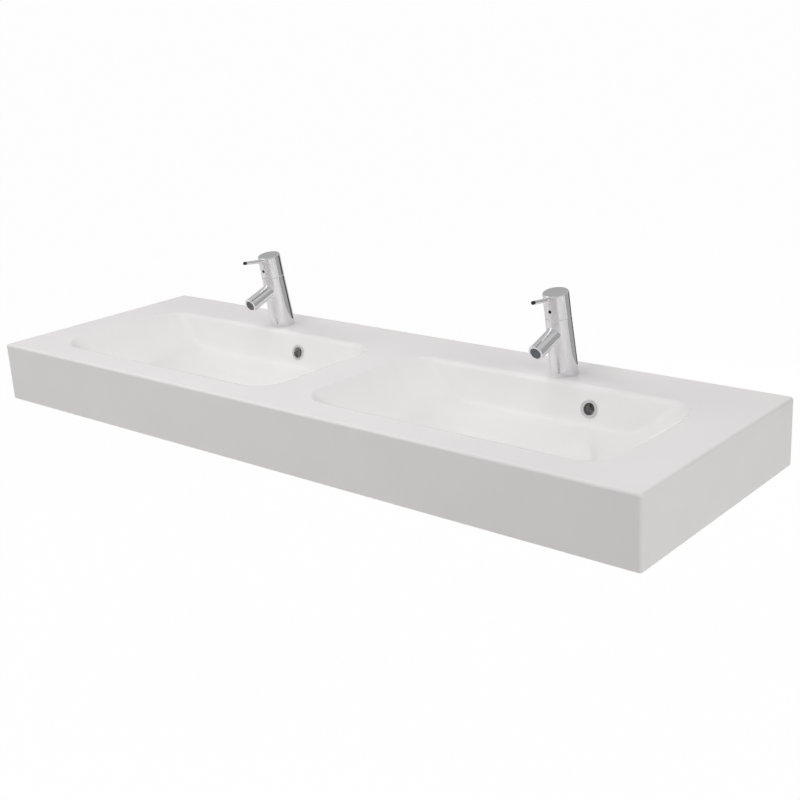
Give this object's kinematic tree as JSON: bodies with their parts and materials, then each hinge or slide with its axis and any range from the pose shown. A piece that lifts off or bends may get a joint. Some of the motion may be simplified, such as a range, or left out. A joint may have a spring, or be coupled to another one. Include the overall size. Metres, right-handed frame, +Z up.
{
  "type": "double basin",
  "caption": "Wall-hung white ceramic double basin with a deep apron, rounded bowls, leaning single-lever mixers, push plugs and overflow rings.",
  "frame": {"origin": "On the back face at mid-width, on the line of the wall fixings, 55 mm under the deck.", "axes": "+X along the basin to the right as seen from the front, +Y into the wall, +Z up."},
  "size_m": [1.4, 0.45, 0.2951],
  "materials": {
    "vitreous_china": "white glaze",
    "chrome_plate": "polished plating",
    "steel": "plain",
    "brass": "machined",
    "rubber": "matt black",
    "grey_plastic": "moulded",
    "black_plastic": "moulded black",
    "disc_ceramic": "ground flat"
  },
  "bodies": {
    "basin_unit": {"aerator_core_left": "grey_plastic", "aerator_core_right": "grey_plastic", "aerator_seals": "rubber", "aerator_shell_left": "chrome_plate", "aerator_shell_right": "chrome_plate", "backnuts": "brass", "base_seals": "rubber", "basin": "vitreous_china", "bottom_seals": "rubber", "cartridge_housing_left": "grey_plastic", "cartridge_housing_right": "grey_plastic", "clamp_pads": "rubber", "clamp_plates": "steel", "click_unit_left": "brass", "click_unit_right": "brass", "dome_ring_left": "chrome_plate", "dome_ring_right": "chrome_plate", "fixed_disc_left": "disc_ceramic", "fixed_disc_right": "disc_ceramic", "fixing_studs": "steel", "flange_seals": "rubber", "overflow_ring_left": "chrome_plate", "overflow_ring_right": "chrome_plate", "port_seals": "rubber", "retaining_nut_left": "brass", "retaining_nut_right": "brass", "stud_nuts": "brass", "tap_body_left": "chrome_plate", "tap_body_right": "chrome_plate", "waste_body_left": "chrome_plate", "waste_body_right": "chrome_plate"},
    "swivel_left": {"stem_carrier_left": "grey_plastic", "pivot_pin_left": "steel"},
    "lever_left": {"handle_left": "chrome_plate", "lever_pin_left": "chrome_plate", "lever_tip_left": "black_plastic", "stem_left": "brass", "handle_screw_left": "steel", "index_plug_left": "black_plastic"},
    "disc_left": {"moving_disc_left": "disc_ceramic"},
    "plug_left": {"plug_cap_left": "chrome_plate", "plug_seal_left": "rubber", "plug_stem_left": "brass"},
    "swivel_right": {"stem_carrier_right": "grey_plastic", "pivot_pin_right": "steel"},
    "lever_right": {"handle_right": "chrome_plate", "lever_pin_right": "chrome_plate", "lever_tip_right": "black_plastic", "stem_right": "brass", "handle_screw_right": "steel", "index_plug_right": "black_plastic"},
    "disc_right": {"moving_disc_right": "disc_ceramic"},
    "plug_right": {"plug_cap_right": "chrome_plate", "plug_seal_right": "rubber", "plug_stem_right": "brass"}
  },
  "joints": [
    {"name": "mix_left", "type": "hinge", "parent": "basin_unit", "child": "swivel_left", "pos_m": [-0.32, -0.08169, 0.14142], "axis": [0, -0.1564, 0.9877], "range_deg": [-45, 45]},
    {"name": "lift_left", "type": "hinge", "parent": "swivel_left", "child": "lever_left", "pos_m": [-0.32, -0.08169, 0.14142], "axis": [-1, 0, 0], "range_deg": [0, 20]},
    {"name": "disc_slide_left", "type": "slide", "parent": "swivel_left", "child": "disc_left", "axis": [0, -0.9877, -0.1564], "range_m": [0, 0.0028]},
    {"name": "plug_lift_left", "type": "slide", "parent": "basin_unit", "child": "plug_left", "axis": [0, 0, 1], "range_m": [0, 0.008]},
    {"name": "mix_right", "type": "hinge", "parent": "basin_unit", "child": "swivel_right", "pos_m": [0.337, -0.08169, 0.14142], "axis": [0, -0.1564, 0.9877], "range_deg": [-45, 45]},
    {"name": "lift_right", "type": "hinge", "parent": "swivel_right", "child": "lever_right", "pos_m": [0.337, -0.08169, 0.14142], "axis": [-1, 0, 0], "range_deg": [0, 20]},
    {"name": "disc_slide_right", "type": "slide", "parent": "swivel_right", "child": "disc_right", "axis": [0, -0.9877, -0.1564], "range_m": [0, 0.0028]},
    {"name": "plug_lift_right", "type": "slide", "parent": "basin_unit", "child": "plug_right", "axis": [0, 0, 1], "range_m": [0, 0.008]}
  ],
  "couplings": [
    {"joint": "disc_slide_left", "follows": "lift_left", "m_per_rad": 0.0079},
    {"joint": "disc_slide_right", "follows": "lift_right", "m_per_rad": 0.0079}
  ]
}
